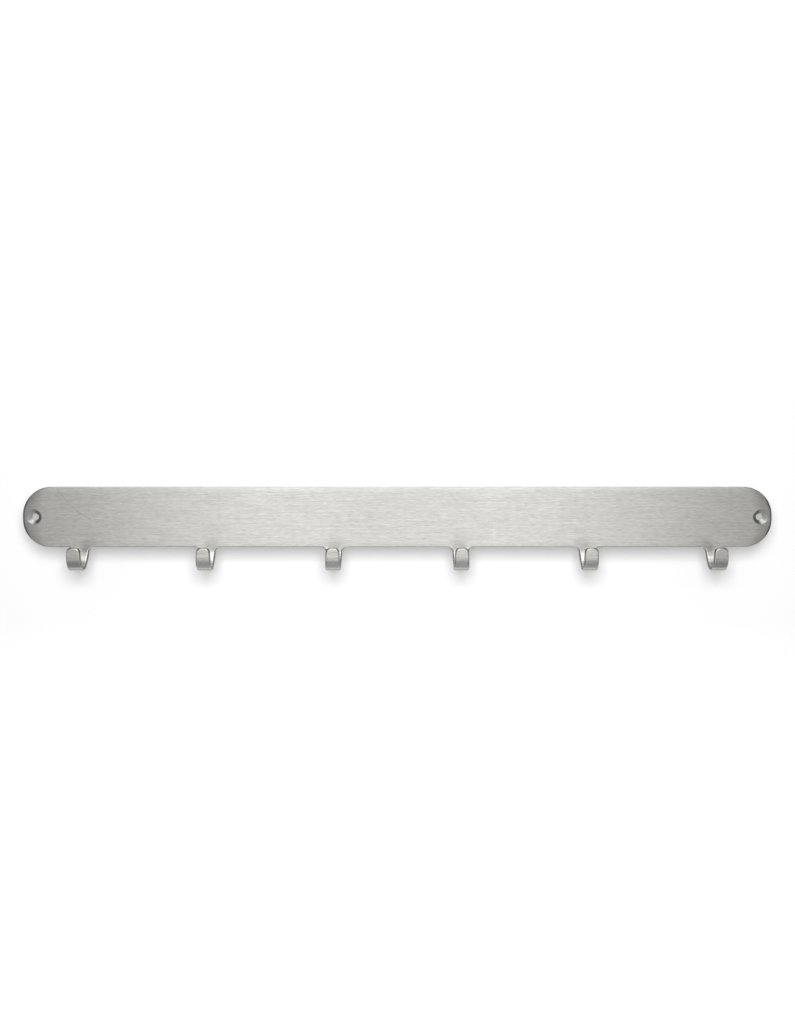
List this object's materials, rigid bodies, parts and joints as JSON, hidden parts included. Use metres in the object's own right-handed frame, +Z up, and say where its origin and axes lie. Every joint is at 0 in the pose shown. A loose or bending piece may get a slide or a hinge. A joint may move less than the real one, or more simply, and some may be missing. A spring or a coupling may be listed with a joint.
{
  "type": "utensil hanging rack",
  "caption": "Flat brushed-steel wall strip with rounded ends and countersunk screw holes, whose lower edge runs out into J hooks rolled forward to hang kitchen utensils.",
  "frame": {"origin": "on the flat back face, midway between the two screw holes, at half the strip's height", "axes": "+X along the strip, +Y through the back face into the wall, +Z up; the hooks open upwards on the -Y side"},
  "size_m": [0.4, 0.0136, 0.0443],
  "materials": {
    "brushed_sheet": "stainless sheet brushed along its length, edges tumbled smooth"
  },
  "bodies": {
    "root": {"hook_rack": "brushed_sheet"}
  },
  "joints": []
}
